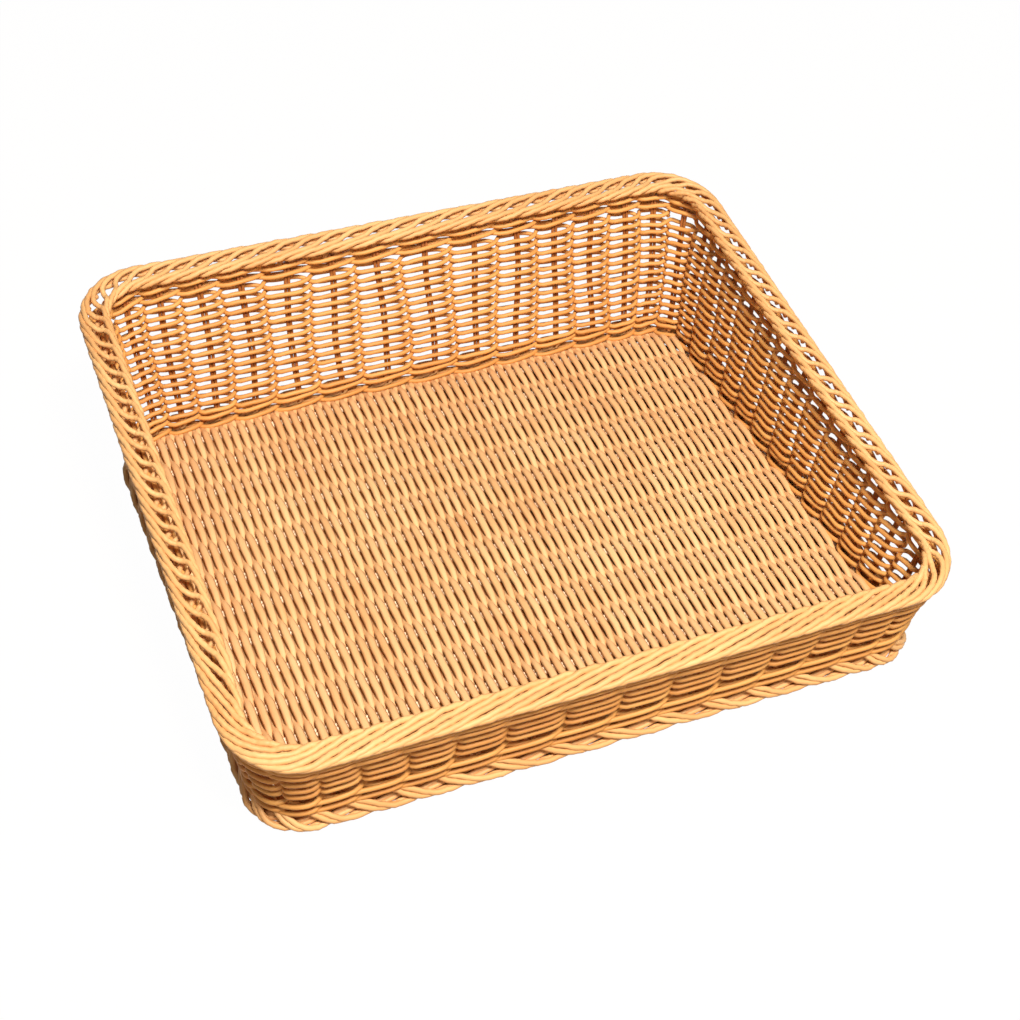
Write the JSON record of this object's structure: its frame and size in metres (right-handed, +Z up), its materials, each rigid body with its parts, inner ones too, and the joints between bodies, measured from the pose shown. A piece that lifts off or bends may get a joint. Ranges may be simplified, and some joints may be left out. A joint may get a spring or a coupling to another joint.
{
  "type": "poly rattan basket",
  "caption": "Shallow rectangular open basket woven from honey-coloured plastic cane, with see-through leaning walls and a plaited rim that slopes down to a low front, for displaying goods.",
  "frame": {"origin": "centre of the bounding box's bottom face, on the surface that the basket stands on", "axes": "+X along the long side, +Y from the low front to the high back, +Z up"},
  "size_m": [0.6004, 0.5242, 0.1747],
  "materials": {
    "stake_cane": "satin, faint streaks along the cane",
    "stick_cane": "satin, faint streaks along the cane",
    "floor_cane": "satin, faint streaks along the cane",
    "weave_cane": "satin, faint streaks along the cane",
    "border_cane": "satin, faint streaks along the cane"
  },
  "bodies": {
    "root": {"stakes_and_foot_border": "stake_cane", "floor_stick_01": "stick_cane", "floor_stick_02": "stick_cane", "floor_stick_03": "stick_cane", "floor_stick_04": "stick_cane", "floor_stick_05": "stick_cane", "floor_stick_06": "stick_cane", "floor_stick_07": "stick_cane", "floor_stick_08": "stick_cane", "floor_stick_09": "stick_cane", "floor_stick_10": "stick_cane", "floor_stick_11": "stick_cane", "floor_stick_12": "stick_cane", "floor_mat": "floor_cane", "lower_wale": "weave_cane", "weave_row_01": "weave_cane", "weave_row_02": "weave_cane", "weave_row_03": "weave_cane", "weave_row_04": "weave_cane", "weave_row_05": "weave_cane", "weave_row_06": "weave_cane", "weave_row_07": "weave_cane", "weave_row_08": "weave_cane", "weave_row_09": "weave_cane", "weave_row_10": "weave_cane", "weave_row_11": "weave_cane", "weave_row_12": "weave_cane", "weave_row_13": "weave_cane", "weave_row_14": "weave_cane", "weave_row_15": "weave_cane", "upper_wale": "weave_cane", "rim_inner_ridge": "border_cane", "rim_outer_ridge": "border_cane"}
  },
  "joints": []
}
